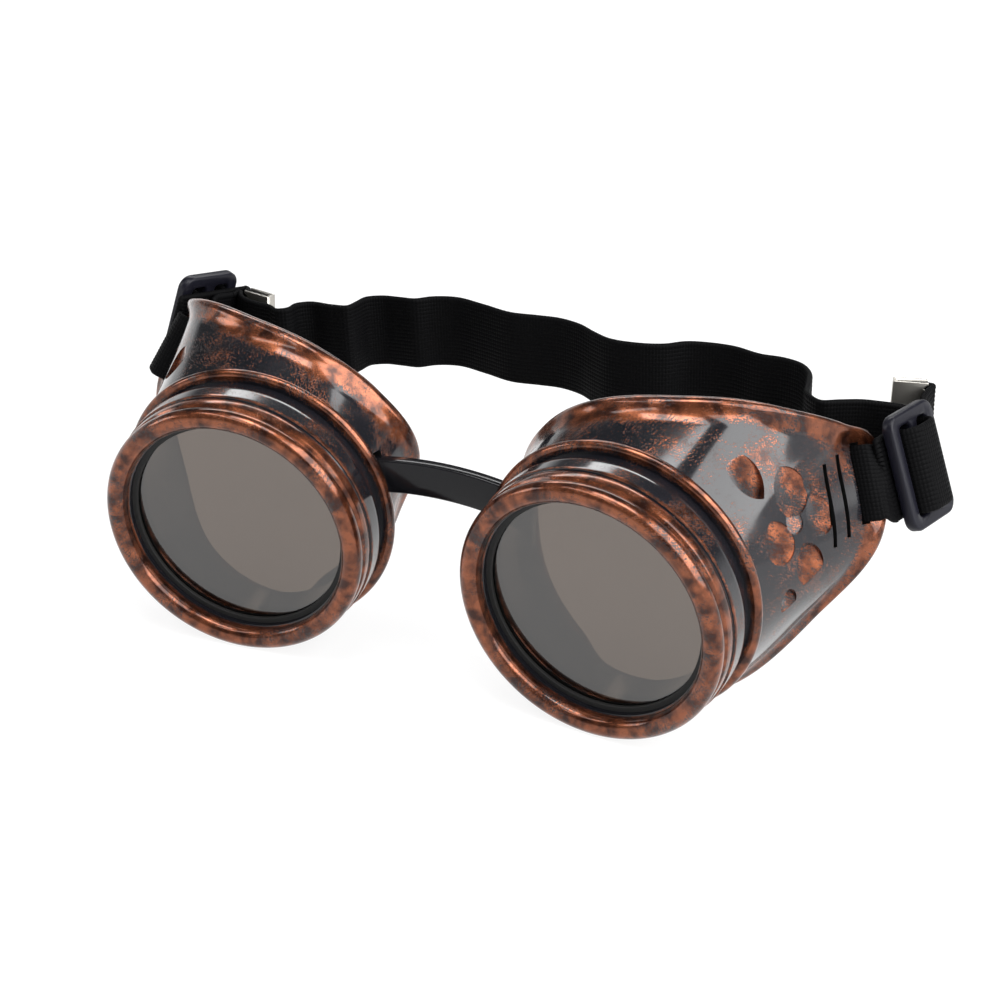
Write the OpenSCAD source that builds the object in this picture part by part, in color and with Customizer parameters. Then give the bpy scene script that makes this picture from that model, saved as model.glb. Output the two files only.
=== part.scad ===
// Steampunk goggles, standing on their two lens rings and on the lower rims of the cups.
// +X runs to the wearer's left, +Y back towards the head, +Z up; the ground is Z = 0.
// Left and right pieces are named as they are seen from the front: the left cup is at -X.

/* [Lens] */
// Diameter of the round lens
lens_d = 50; // [44:0.5:54]
// Thickness of the lens
lens_t = 2; // [1.2:0.1:3]
// Thickness of each soft washer, one before and one behind the lens
washer_t = 0.8; // [0.5:0.1:1.4]
// Width of the washers' rings
washer_w = 2; // [1.2:0.1:3]

/* [Screw ring] */
// Diameter of the round bead at the front of the ring
bead_d = 4.4; // [3.4:0.1:5.2]
// Width of the lip that holds the lens, past the lens edge
lip_w = 0.6; // [0.4:0.1:1]
// Thickness of the lip behind the bead's middle plane
lip_t = 2.1; // [1.6:0.1:3]
// Wall of the ring outside its thread
ring_wall = 1.7; // [1.2:0.1:2.4]
// Length of thread that holds the ring on the neck
thread_len = 3.6; // [2.4:0.1:6]
// Depth of the turned groove half way along the ring
groove_depth = 0.4; // [0.2:0.05:0.8]

/* [Eyecup] */
// Wall of the moulded cup
cup_wall = 2.4; // [1.6:0.1:3]
// Wall of the neck that carries the thread
neck_wall = 3.65; // [3:0.05:4.5]
// Width of the groove between the ring and the flange
recess_w = 2.7; // [1.5:0.1:4]
// How far the flange stands out past the groove's floor
flange_h = 2.5; // [1.5:0.1:2.5]
// Thickness of the flange
flange_t = 2.4; // [1.6:0.1:3.2]
// Diameter of the rolled lip round the back of the cup
lip_d = 4.4; // [3:0.1:5]
// Depth of the scooped dimples in the temple panel
scoop_depth = 1.1; // [0.6:0.05:1.4]
// Width of the two narrow slits in the temple panel
slit_w = 1.1; // [0.6:0.1:1.6]

/* [Stance] */
// Distance between the centres of the two rings
eye_spacing = 80.4; // [76:0.2:90]
// Angle by which each cup's front turns towards the nose
toe_in = 5.6; // [0:0.2:9]
// Angle by which each cup's front leans down on the ground
lean = 8; // [7:0.5:10]

/* [Nose bridge] */
// Height of the bridge strip
bridge_h = 7.2; // [5:0.25:10]
// Thickness of the bridge strip
bridge_t = 3; // [2:0.1:4]
// Height of the bridge's middle above the ground
bridge_z = 42; // [38:0.5:46]
// Rise of the bridge's arch over the ends
bridge_rise = 1.4; // [0.5:0.1:3]

/* [Webbing] */
// Width of the strap webbing
web_w = 18; // [14:0.5:20]
// Thickness of the strap webbing
web_t = 1.4; // [1:0.1:1.8]
// Height of the webbing's middle line above the ground, behind the cups
web_z = 50; // [46:0.5:54]
// Length of the metal clip on each webbing end
clip_len = 7.4; // [5:0.2:10]
// Thickness of the metal of the clip
clip_t = 0.5; // [0.3:0.05:0.8]

/* [Slider] */
// Length of the slider along the webbing
slider_len = 16.8; // [15:0.2:20]
// Thickness of the slider's bars
slider_t = 2.6; // [2:0.1:3.2]
// Width of each of the slider's bars
slider_bar = 3; // [2.4:0.1:3.6]

/* [Hidden] */

$fn = 96;
// Running gap between the ring's thread and the neck, on the radius
thread_gap = 0.1;
// Room round the lens and its washers, on the radius
pocket_gap = 0.5;
// Gap between two pieces that are stacked face to face
stack_gap = 0.05;
// Gap round a strip that passes through a hole
slot_gap = 0.3;
// Length of a cut that has to go right through a slanting wall
cut_through = 14;

bead_r = bead_d / 2;
aperture_r = lens_d / 2 - lip_w;
ring_r = aperture_r + bead_r + 0.2;
pocket_r = lens_d / 2 + pocket_gap;
thread_r = pocket_r + 2.25;
ring_out_r = thread_r + ring_wall;
washer_out_r = lens_d / 2 + pocket_gap / 2;

// Places along the ring's axis, counted back from the bead's middle plane
front_washer_y = lip_t + stack_gap;
lens_y = front_washer_y + washer_t + stack_gap;
rear_washer_y = lens_y + lens_t + stack_gap;
neck_y = rear_washer_y + washer_t + stack_gap;
ring_back_y = neck_y + thread_len;
shoulder_y = ring_back_y + slot_gap;
flange_y = shoulder_y + recess_w;
flange_back_y = flange_y + flange_t;

neck_r = thread_r - thread_gap;
neck_in_r = neck_r - neck_wall;
recess_r = neck_r + 0.75;
flange_r = recess_r + flange_h;
shell_r = recess_r + 1.1;

stand_z = ring_r * cos(lean) + bead_r;
rim_r = lip_d / 2;

// Where the lower rim has to reach, past the shell's front circle, to stand on the ground
rim_foot_depth = 4.2;
rim_foot_y = flange_back_y + rim_foot_depth;
rim_foot = (stand_z - rim_r + rim_foot_y * sin(lean)) / cos(lean) - shell_r;

// The back rim of a cup, from the temple over the top to the nose and back underneath:
// angle round the ring's axis, reach past the shell's front circle, depth behind the flange
rim = [
    [2, 10, 33.5],
    [26, 8.5, 42],
    [38, 8.5, 34.5],
    [57, 8.5, 20.5],
    [82, 4.7, 12],
    [108, 2.9, 9.2],
    [135, 1.3, 11],
    [166, 0.3, 13.8],
    [191, -3.5, 8.5],
    [237, -4, 4.8],
    [261, rim_foot, rim_foot_depth],
    [307, 1.5, 9],
    [338, 3.7, 20.4]];

// The temple panel's own frame: along the panel, up the panel and out of it
panel_at = [shell_r - 3.9, flange_back_y - 0.9, 9.3];
panel_turn = [67, -7, 74];
// Dimples: place along and up the panel, height of the surface there, diameter
scoops = [
    [18.7, 6.2, 0.3, 9.2],
    [23.3, -1.6, 0.4, 7.4],
    [16.4, 1, 0.8, 4.6],
    [10.6, -0.8, 1.3, 8],
    [16.4, -8.8, 0.2, 7.8],
    [9.2, -13, -1.4, 4.6]];
leaf_at = [10.3, 15, -0.2];
leaf_len = 11;
leaf_w = 5.4;
slits = [[27.3, -1.3, -0.4], [31.7, -1.5, -0.6]];
slit_len = 16.8;
slot_at = [37.2, -1.6, -1];
slot_slant = -21.5;
slot_squeeze = 0.88;
slot_room = 0.8;
slot_len = slot_squeeze * web_w + slot_room;
slot_w = web_t + slot_room;

function unit(v) = v / norm(v);
function about_x(v, a) = [v[0], v[1] * cos(a) - v[2] * sin(a), v[1] * sin(a) + v[2] * cos(a)];
function about_y(v, a) = [v[0] * cos(a) + v[2] * sin(a), v[1], v[2] * cos(a) - v[0] * sin(a)];
function about_z(v, a) = [v[0] * cos(a) - v[1] * sin(a), v[0] * sin(a) + v[1] * cos(a), v[2]];
// A vector turned as rotate(r) turns a shape
function turned(v, r) = about_z(about_y(about_x(v, r[0]), r[1]), r[2]);
function lerp(a, b, t) = a + (b - a) * t;
function curve(a, b, c, d, t) =
    0.5 * (2 * b + (c - a) * t + (2 * a - 5 * b + 4 * c - d) * t * t
        + (3 * b - a - 3 * c + d) * t * t * t);

// A row of the rim, counted on past the ends of the list as the rim closes on itself
function rim_row(i) =
    let (lap = floor(i / len(rim)))
    rim[i - lap * len(rim)] + [360 * lap, 0, 0];
function rim_at(u) =
    let (i = floor(u))
    curve(rim_row(i - 1), rim_row(i), rim_row(i + 1), rim_row(i + 2), u - i);

root_y = flange_y + 1;
bead_angles = [-75:34:163];

// The cup's wall and rolled lip in the plane of one row: outer wall, lip, inner wall
function wall_profile(row) =
    let (
        end = [shell_r + row[1], flange_back_y + row[2]],
        root = [shell_r, root_y],
        along = unit(end - root),
        out = [along[1], -along[0]],
        lip = [for (a = bead_angles) end + rim_r * (cos(a) * out + sin(a) * along)],
        inner_end = end + rim_r * (cos(200) * out + sin(200) * along),
        inner_root = root - [cup_wall, 0])
    concat(
        [for (s = [0, 0.35, 0.7]) lerp(root, lip[0], s)],
        lip,
        [for (s = [0, 0.35, 0.7, 1]) lerp(inner_end, inner_root, s)]);

rim_steps = 65;
function wall_ring(k) =
    let (row = rim_at(k * len(rim) / rim_steps), a = row[0])
    [for (p = wall_profile(row)) [p[0] * cos(a), p[1], p[0] * sin(a)]];

// Triangles of a tube that closes on itself, from rings of m points
function closed_tube_faces(n, m) =
    [for (k = [0:n - 1], j = [0:m - 1])
        let (a = k * m + j, b = k * m + (j + 1) % m,
             c = ((k + 1) % n) * m + (j + 1) % m, d = ((k + 1) % n) * m + j)
        each [[a, c, b], [a, d, c]]];

module along_axis() rotate([-90, 0, 0]) children();
module on_side(side) mirror([side < 0 ? 1 : 0, 0, 0]) children();
cup_at = [eye_spacing / 2, 0, stand_z];
cup_turn = [lean, 0, -toe_in];
module on_cup() translate(cup_at) rotate(cup_turn) children();
module on_panel() translate(panel_at) rotate(panel_turn) children();

module tube(r_out, r_in, y_from, y_to)
    along_axis() translate([0, 0, y_from]) difference() {
        cylinder(r = r_out, h = y_to - y_from);
        translate([0, 0, -1]) cylinder(r = r_in, h = y_to - y_from + 2);
    }

module lens_ring()
    color([0.45, 0.24, 0.16]) along_axis() rotate_extrude() difference() {
        union() {
            translate([ring_r, 0]) circle(r = bead_r, $fn = 48);
            polygon([
                [aperture_r, bead_r * 0.4], [ring_r, 0], [ring_out_r - 0.3, 0],
                [ring_out_r - 0.15, ring_back_y / 2 - 0.3],
                [ring_out_r - groove_depth - 0.15, ring_back_y / 2],
                [ring_out_r, ring_back_y / 2 + 0.3],
                [ring_out_r, ring_back_y - 0.3],
                [ring_out_r - 0.3, ring_back_y],
                [thread_r, ring_back_y], [thread_r, neck_y - 0.5],
                [pocket_r, neck_y - 0.5], [pocket_r, lip_t], [aperture_r, lip_t]]);
        }
        translate([0, bead_r * 0.4]) square([aperture_r, bead_d]);
    }

module washer(y)
    color([0.1, 0.1, 0.1]) tube(washer_out_r, washer_out_r - washer_w, y, y + washer_t);

module lens()
    color([0.5, 0.48, 0.44, 0.5]) along_axis() translate([0, 0, lens_y]) cylinder(d = lens_d, h = lens_t);

module neck_and_flange()
    along_axis() rotate_extrude() polygon(concat(
        [[neck_in_r, neck_y], [neck_r, neck_y], [neck_r, shoulder_y], [recess_r, shoulder_y],
         [recess_r, flange_y]],
        [for (a = [-90:30:90])
            [flange_r - flange_t / 2 + flange_t / 2 * cos(a),
             flange_y + flange_t / 2 + flange_t / 2 * sin(a)]],
        [[neck_in_r, flange_back_y]]));

module cup_wall_loft() {
    rings = [for (k = [0:rim_steps - 1]) wall_ring(k)];
    m = len(rings[0]);
    polyhedron([for (r = rings) each r], closed_tube_faces(rim_steps, m), convexity = 6);
}

// A dimple is a shallow ball-shaped scoop, sunk into the panel
module scoop(d) {
    ball_r = (d * d / 4 + scoop_depth * scoop_depth) / (2 * scoop_depth);
    translate([0, 0, ball_r - scoop_depth]) sphere(r = ball_r);
}
module leaf() {
    arc_r = (leaf_len * leaf_len + leaf_w * leaf_w) / (4 * leaf_w);
    intersection() {
        translate([arc_r - leaf_w / 2, 0, -scoop_depth]) cylinder(r = arc_r, h = 5);
        translate([leaf_w / 2 - arc_r, 0, -scoop_depth]) cylinder(r = arc_r, h = 5);
    }
}

module panel_cuts()
    on_panel() {
        for (s = scoops) translate([s[0], s[1], s[2]]) scoop(s[3]);
        translate(leaf_at) rotate([0, 0, 12]) leaf();
        for (s = slits) translate(s) rotate([0, 0, slot_slant])
            translate([-slit_w / 2, -slit_len / 2, -scoop_depth]) cube([slit_w, slit_len, 5]);
        translate(slot_at) rotate([0, 0, slot_slant])
            cube([slot_w, slot_len, cut_through], center = true);
    }

// The bridge lies just behind the flanges and passes through the cups' nose walls
bridge_y = flange_back_y + 2.1 + bridge_t / 2 - bridge_z * sin(lean) / 3;
nose_draw_in = 4.2;
wall_x = eye_spacing / 2 - shell_r + nose_draw_in;
arch_r = (wall_x * wall_x + bridge_rise * bridge_rise) / (2 * bridge_rise);
head_x = wall_x + 5.6;
head_t = 2;
head_h = bridge_h + 5;
head_drop = 3.6;

module bridge_hole()
    translate([
        wall_x - 6, bridge_y - bridge_t / 2 - slot_gap,
        bridge_z - bridge_rise - bridge_h / 2 - slot_gap - 1.2])
        cube([cut_through, bridge_t + 2 * slot_gap, bridge_h + 2 * slot_gap + 2]);

module eyecup(side)
    color([0.2, 0.17, 0.16]) on_side(side) difference() {
        on_cup() difference() {
            union() {
                neck_and_flange();
                cup_wall_loft();
            }
            panel_cuts();
        }
        bridge_hole();
    }

// A strip arched over the nose, with a button head inside each cup
module nose_bridge() {
    half_turn = asin(head_x / arch_r);
    color([0.07, 0.07, 0.07]) {
        translate([0, bridge_y + bridge_t / 2, bridge_z - arch_r]) rotate([90, 0, 0])
            linear_extrude(bridge_t) polygon(concat(
                [for (a = [-half_turn:half_turn / 6:half_turn + 0.01])
                    (arch_r + bridge_h / 2) * [sin(a), cos(a)]],
                [for (a = [half_turn:-half_turn / 6:-half_turn - 0.01])
                    (arch_r - bridge_h / 2) * [sin(a), cos(a)]]));
        for (side = [-1, 1])
            translate([side * head_x, bridge_y, bridge_z - head_drop])
                cube([head_t, bridge_t, head_h], center = true);
    }
}

// Where a slider stands, counted from the middle of the cup's slot: the middle of its front bar,
// and the turn that lays it on its webbing
slot_place = cup_at + turned(panel_at + turned(slot_at, panel_turn), cup_turn);
slider_off = [[7.06, 8.06, 2.36], [7.26, 2.86, 1.56]];
slider_at = [for (off = slider_off) slot_place + off];
slider_turn = [[-7, -14, 18], [1, -21.5, -15]];
slider_end = [for (k = [0, 1]) slider_at[k] + turned([0, slider_len, 0], slider_turn[k])];
module on_slider(k) translate(slider_at[k]) rotate(slider_turn[k]) children();

side_bar = 2.8;
window_h = web_w + 1;
slider_h = window_h + 2 * side_bar;
window_l = (slider_len - 3 * slider_bar) / 2;
module rounded(l, h, r) {
    translate([0, -h / 2 + r]) square([l, h - 2 * r]);
    translate([r, -h / 2]) square([l - 2 * r, h]);
    for (x = [r, l - r], y = [r - h / 2, h / 2 - r]) translate([x, y]) circle(r = r);
}
// Three bars and two windows, drawn with the webbing's length along Y and its width along Z
module slider()
    color([0.09, 0.09, 0.1]) rotate([0, 0, 90]) rotate([90, 0, 0])
        translate([0, 0, -slider_t / 2]) linear_extrude(slider_t) difference() {
            rounded(slider_len, slider_h, slider_bar);
            for (x = [slider_bar, 2 * slider_bar + window_l])
                translate([x, -window_h / 2]) square([window_l, window_h]);
        }

// Webbing follows points of [x, y, z, lean of its upper edge in x, the same in y], and a sixth
// number where it is squeezed together: the share of its full width
function place(p) = [p[0], p[1], p[2]];
function edge(p) = unit([p[3], p[4], sqrt(max(0.1, 1 - p[3] * p[3] - p[4] * p[4]))]);
function full(p) = len(p) > 5 ? p : concat(p, 1);
// A smooth curve through uneven points, whose speed follows their spacing
function flow(a, b, c, d, t) =
    let (p = max(0.1, norm(place(b - a))), q = max(0.1, norm(place(c - b))),
         r = max(0.1, norm(place(d - c))),
         u = q * ((b - a) / p - (c - a) / (p + q) + (c - b) / q),
         v = q * ((c - b) / q - (d - b) / (q + r) + (d - c) / r))
    (2 * t * t * t - 3 * t * t + 1) * b + (t * t * t - 2 * t * t + t) * u
        + (3 * t * t - 2 * t * t * t) * c + (t * t * t - t * t) * v;
web_steps = 4;
function web_curve(pts) =
    let (n = len(pts), more = concat([2 * pts[0] - pts[1]], pts, [2 * pts[n - 1] - pts[n - 2]]))
    concat([for (i = [1:n - 1], s = [0:web_steps - 1])
        flow(more[i - 1], more[i], more[i + 1], more[i + 2], s / web_steps)], [pts[n - 1]]);

// Flat webbing swept along its points, with a rectangular section
module webbing(pts) {
    line = web_curve([for (p = pts) full(p)]);
    last = len(line) - 1;
    rings = [for (k = [0:last])
        let (p = place(line[k]), up = edge(line[k]),
             run = unit(place(line[min(k + 1, last)]) - place(line[max(k - 1, 0)])),
             w = up * line[k][5] * web_w / 2, t = unit(cross(up, run)) * web_t / 2)
        [p + w + t, p + w - t, p - w - t, p - w + t]];
    sides = [for (k = [0:last - 1], j = [0:3])
        let (a = k * 4 + j, b = k * 4 + (j + 1) % 4, c = b + 4, d = a + 4)
        each [[a, c, b], [a, d, c]]];
    ends = [[0, 1, 2], [0, 2, 3], [last * 4, last * 4 + 2, last * 4 + 1],
            [last * 4, last * 4 + 3, last * 4 + 2]];
    color([0.05, 0.05, 0.05])
        polyhedron([for (r = rings) each r], concat(sides, ends), convexity = 8);
}

// Points of the webbing against the slider, the cup's slot and the clip they have to meet
tail_n = -(slider_t / 2 + web_t / 2 + 0.25);
strap_n = tail_n - web_t - 0.35;
function by_slider(k, along, n) =
    let (p = slider_at[k] + turned([n, along, 0], slider_turn[k]),
         up = turned([0, 0, 1], slider_turn[k]))
    concat(p, up[0], up[1]);
// A point that is given from the middle of the slider's far end
function past_slider(k, p) = concat(slider_end[k] + place(p), p[3], p[4]);
slot_tip = -0.14;
function slot_to_cup(v) = turned(about_z(v, slot_slant), panel_turn);
function by_slot(across, n) =
    let (p = slot_place + turned(slot_to_cup([across, 0, n]), cup_turn),
         up = unit(turned(slot_to_cup([0, 1, slot_tip]), cup_turn)))
    concat(p, up[0], up[1], slot_squeeze);
function by_clip(k, along) = concat(clip_at[k] + along * [cos(clip_turn[k]), sin(clip_turn[k]), 0], 0, 0);

clip_off = [[-10.72, -1.81, -1.01], [-10.24, 12.75, 0.63]];
clip_at = [for (k = [0, 1]) slider_end[k] + clip_off[k]];
clip_turn = [12.3, 17];
turn_off = slider_len - 3.8;

// Each loop: from the clipped end past the slider, through the cup's slot, round the rim and back
fold = [
    [[-5.32, 0.29, -1.01, -0.1, 0], [-3.92, 1.59, -1.01, -0.2, 0], [-2.52, 1.59, -0.91, -0.25, 0.04]],
    [[-5.64, 13.85, 0.63, 0, 0], [-4.84, 12.25, 0.53, -0.14, 0], [-3.74, 8.55, 0.13, -0.31, 0.05],
     [-2.14, 4.35, -0.37, -0.35, 0.08]]];
through_slot = [
    by_slot(3.4, 3.3), by_slot(1.3, 2.6), by_slot(0.12, 0.8), by_slot(0.04, -2.5), by_slot(2.6, -4),
    by_slot(6, -3.8)];
over_rim = [[by_slot(6.2, 3.05)], []];
past_rim = [[by_slot(9.5, -4.2)], [by_slot(9, -2.4)]];
function loop_line(k) = concat(
    [for (x = [1 - clip_len / 2, 0, clip_len / 2 - 0.8, clip_len / 2 + 0.1]) by_clip(k, x)],
    [for (p = fold[k]) past_slider(k, p)],
    [for (y = [slider_len + 1.4, slider_len + 0.2, slider_len / 2, -0.2, -1.2]) by_slider(k, y, tail_n)],
    over_rim[k],
    through_slot,
    past_rim[k],
    [for (y = [turn_off - 5, turn_off - 4, turn_off - 1, turn_off - 0.15]) by_slider(k, y, strap_n)]);
// The long stretch round the back of the head, from the left slider to the right one
lead = [
    [[-3.32, -2.71, -0.71, -0.2, 0], [-4.42, -1.81, -0.81, -0.15, -0.04],
     [-5.72, -3.21, -0.91, -0.1, -0.04], [-7.62, -4.51, -1.01, -0.06, -0.06],
     [-12.62, -5.81, -1.11, 0, -0.1]],
    [[-20.74, -3.35, 0.63, 0, -0.14], [-16.74, -0.45, 0.33, 0, -0.12], [-12.74, 0.95, 0.03, -0.02, -0.1],
     [-9.34, 2.15, -0.47, -0.1, -0.05], [-6.44, 2.75, -0.87, -0.2, 0], [-4.54, 1.65, -1.17, -0.3, 0.05]]];
back_run = [
    [-66, 61.7, 47, 0, -0.14], [-62.5, 59.4, 47.3, 0, -0.14], [-60.6, 60.6, 47.5, 0, -0.14],
    [-60.2, 64, 47.6, 0, -0.14], [-58, 66.2, 47.7, 0, -0.14], [-52, 66.5, 47.9, 0, -0.14],
    [-48.4, 67.2, 48.1, 0, -0.14], [-47.6, 70, 48.3, 0, -0.14], [-46.8, 73.2, 48.6, 0, -0.14],
    [-44, 75.2, 48.8, 0, -0.14], [-39, 75.4, 49.2, 0, -0.14], [-35, 75.2, 49.6, 0, -0.14],
    [-32, 77.8, 49.8, 0, -0.14], [-27, 79.6, web_z, 0, -0.14], [-19, 78.2, web_z, 0, -0.14],
    [-11, 76.2, web_z, 0, -0.14], [-5, 77.3, web_z, 0, -0.14], [0, 78, web_z, 0, -0.14],
    [5.5, 76.6, web_z, 0, -0.14], [10.5, 73.3, web_z, 0, -0.14], [15, 71, web_z, 0, -0.14],
    [21, 71.2, web_z, 0, -0.14], [27, 73.6, web_z, 0, -0.14], [31, 77.6, web_z, 0, -0.14],
    [36, 79.3, web_z, 0, -0.14], [41, 79.7, web_z, 0, -0.14], [48, 77.8, web_z, 0, -0.14],
    [53, 78.1, web_z, 0, -0.14], [57.5, 76.6, web_z, 0, -0.14], [60.3, 73, web_z, 0, -0.14],
    [62, 67.5, web_z, 0, -0.14], [64.3, 60, web_z, 0, -0.14], [67.5, 57.6, web_z, 0, -0.14]];
function flipped(p) = [-p[0], p[1], p[2], -p[3], p[4]];
head_line = concat(
    [for (y = [turn_off, turn_off + 1]) flipped(by_slider(0, y, strap_n))],
    [for (p = lead[0]) flipped(past_slider(0, p))],
    back_run,
    [for (p = lead[1]) past_slider(1, p)],
    [for (y = [turn_off + 2, turn_off]) by_slider(1, y, strap_n)]);

// The hump of webbing over the slider's middle bar, in the slider's own frame
hump = 3.9;
mid = slider_len / 2;
wrap_reach = slider_bar / 2 + window_l - web_t / 2 - 0.1;
wrap_half = [
    [wrap_reach - 0.3, -1.4], [wrap_reach - 0.1, 0], [wrap_reach, 1.6], [wrap_reach - 1.2, hump - 0.6]];
wrap_line = concat(
    [for (p = wrap_half) [p[1], mid - p[0], 0, 0, 0]],
    [[hump, mid, 0, 0, 0]],
    [for (k = [3:-1:0]) [wrap_half[k][1], mid + wrap_half[k][0], 0, 0, 0]]);

// A folded metal sheet that grips the webbing's cut end
clip_room = 0.3;
clip_h = web_w + 2 * clip_room;
clip_in = web_t + clip_room;
module clip(k)
    color([0.55, 0.53, 0.5]) translate(clip_at[k]) rotate([0, 0, clip_turn[k]]) difference() {
        cube([clip_len, clip_in + 2 * clip_t, clip_h], center = true);
        translate([clip_t, 0, 0]) cube([clip_len, clip_in, clip_h + 1], center = true);
    }

module left_eyecup() eyecup(-1);
module left_lens_ring() on_side(-1) on_cup() lens_ring();
module left_lens() on_side(-1) on_cup() lens();
module left_front_washer() on_side(-1) on_cup() washer(front_washer_y);
module left_rear_washer() on_side(-1) on_cup() washer(rear_washer_y);
module left_slider() on_side(-1) on_slider(0) slider();
module left_strap_loop() on_side(-1) webbing(loop_line(0));
module left_strap_wrap() on_side(-1) on_slider(0) webbing(wrap_line);
module left_strap_clip() on_side(-1) clip(0);
module right_eyecup() eyecup(1);
module right_lens_ring() on_cup() lens_ring();
module right_lens() on_cup() lens();
module right_front_washer() on_cup() washer(front_washer_y);
module right_rear_washer() on_cup() washer(rear_washer_y);
module right_slider() on_slider(1) slider();
module right_strap_loop() webbing(loop_line(1));
module right_strap_wrap() on_slider(1) webbing(wrap_line);
module right_strap_clip() clip(1);
module head_strap() webbing(head_line);

left_eyecup();
left_lens_ring();
left_lens();
left_front_washer();
left_rear_washer();
left_slider();
left_strap_loop();
left_strap_wrap();
left_strap_clip();
right_eyecup();
right_lens_ring();
right_lens();
right_front_washer();
right_rear_washer();
right_slider();
right_strap_loop();
right_strap_wrap();
right_strap_clip();
nose_bridge();
head_strap();
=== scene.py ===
import math

import bmesh
import bpy
from mathutils import Matrix, Vector

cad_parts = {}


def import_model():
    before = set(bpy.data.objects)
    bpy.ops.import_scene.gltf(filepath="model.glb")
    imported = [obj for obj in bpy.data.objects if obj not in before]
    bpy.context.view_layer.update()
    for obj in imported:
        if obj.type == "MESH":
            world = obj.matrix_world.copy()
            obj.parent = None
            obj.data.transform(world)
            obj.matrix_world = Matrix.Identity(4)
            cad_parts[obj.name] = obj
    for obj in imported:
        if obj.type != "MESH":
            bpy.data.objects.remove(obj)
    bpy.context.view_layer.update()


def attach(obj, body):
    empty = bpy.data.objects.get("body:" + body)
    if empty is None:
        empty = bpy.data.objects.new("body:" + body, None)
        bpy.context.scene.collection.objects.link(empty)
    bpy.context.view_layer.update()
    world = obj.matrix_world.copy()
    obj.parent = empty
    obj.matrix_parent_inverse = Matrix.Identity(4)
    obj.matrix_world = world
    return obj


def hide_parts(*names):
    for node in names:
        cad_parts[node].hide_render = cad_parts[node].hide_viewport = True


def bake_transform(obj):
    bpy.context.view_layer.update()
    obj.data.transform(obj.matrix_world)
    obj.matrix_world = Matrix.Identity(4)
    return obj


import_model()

MM = 0.001
SIDES = {"left": -1, "right": 1}

# Lens, ring and cup, in millimetres: the same driving sizes as the solids
LENS_D = 50
LENS_T = 2
BEAD_R = 2.2
APERTURE_R = LENS_D / 2 - 0.6
RING_R = APERTURE_R + BEAD_R + 0.2
POCKET_R = LENS_D / 2 + 0.5
THREAD_R = POCKET_R + 2.25
RING_OUT_R = THREAD_R + 1.7
LIP_T = 2.1
WASHER_T = 0.8
WASHER_OUT_R = LENS_D / 2 + 0.25
WASHER_W = 2
STACK_GAP = 0.05
FRONT_WASHER_Y = LIP_T + STACK_GAP
LENS_Y = FRONT_WASHER_Y + WASHER_T + STACK_GAP
REAR_WASHER_Y = LENS_Y + LENS_T + STACK_GAP
NECK_Y = REAR_WASHER_Y + WASHER_T + STACK_GAP
RING_BACK_Y = NECK_Y + 3.6
SHOULDER_Y = RING_BACK_Y + 0.3
FLANGE_Y = SHOULDER_Y + 2.7
FLANGE_T = 2.4
FLANGE_BACK_Y = FLANGE_Y + FLANGE_T
NECK_R = THREAD_R - 0.1
NECK_IN_R = NECK_R - 3.65
RECESS_R = NECK_R + 0.75
FLANGE_R = RECESS_R + 2.5
SHELL_R = RECESS_R + 1.1
ROOT_Y = FLANGE_Y + 1
CUP_WALL = 2.4
RIM_R = 2.2

LEAN = math.radians(8)
TOE_IN = math.radians(5.6)
STAND_Z = RING_R * math.cos(LEAN) + BEAD_R
CUP_AT = Vector((40.2, 0, STAND_Z))
FOOT_DEPTH = 4.2
RIM_FOOT = (
    (STAND_Z - RIM_R + (FLANGE_BACK_Y + FOOT_DEPTH) * math.sin(LEAN)) / math.cos(LEAN) - SHELL_R
)

# Back rim of a cup: angle round the ring's axis, reach past the shell, depth behind the flange
RIM = [
    (2, 10, 33.5), (26, 8.5, 42), (38, 8.5, 34.5), (57, 8.5, 20.5), (82, 4.7, 12),
    (108, 2.9, 9.2), (135, 1.3, 11), (166, 0.3, 13.8), (191, -3.5, 8.5), (237, -4, 4.8),
    (261, RIM_FOOT, FOOT_DEPTH), (307, 1.5, 9), (338, 3.7, 20.4),
]

# The temple panel's frame and what is sunk into it. Scoops: x, y, z and width on the panel
PANEL_AT = Vector((SHELL_R - 3.9, FLANGE_BACK_Y - 0.9, 9.3))
PANEL_TURN = (67, -7, 74)
SCOOPS = [
    (18.7, 6.2, 0.3, 9.2), (23.3, -1.6, 0.4, 7.4), (16.4, 1, 0.8, 4.6),
    (10.6, -0.8, 1.3, 8), (16.4, -8.8, 0.2, 7.8), (9.2, -13, -1.4, 4.6),
]
SCOOP_DEPTH = 1.2
SCOOP_SHALLOW = 0.12
SCOOP_COVER = 0.7
FLOOR_TILT = 0.3
FLOOR_HOLLOW = 0.3
# How quickly the copper thins towards each scoop's deepest part, as painted shade in the hollow
PAINTED_SHADE_RAMP = 2.4
LEAF_AT = Vector((10.3, 15, -0.2))
LEAF_LEN = 12
LEAF_W = 6.6
LEAF_TURN = 12
LEAF_SHALLOW = 0.4
SLITS = [(27.3, -1.3, -0.4), (31.7, -1.5, -0.6)]
SLIT_W = 1.1
SLIT_DEPTH = 1.3
SLIT_LEN = 16.8
SLIT_CUTTER_H = 5
SLOT_AT = Vector((37.2, -1.6, -1))
SLOT_SLANT = -21.5
SLOT_SQUEEZE = 0.88
SLOT_TIP = -0.14

WEB_W = 18
WEB_T = 1.4
WEB_Z = 50
SLOT_LEN = SLOT_SQUEEZE * WEB_W + 0.8
SLOT_W = WEB_T + 0.8
THROUGH_CUT = 14

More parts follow.
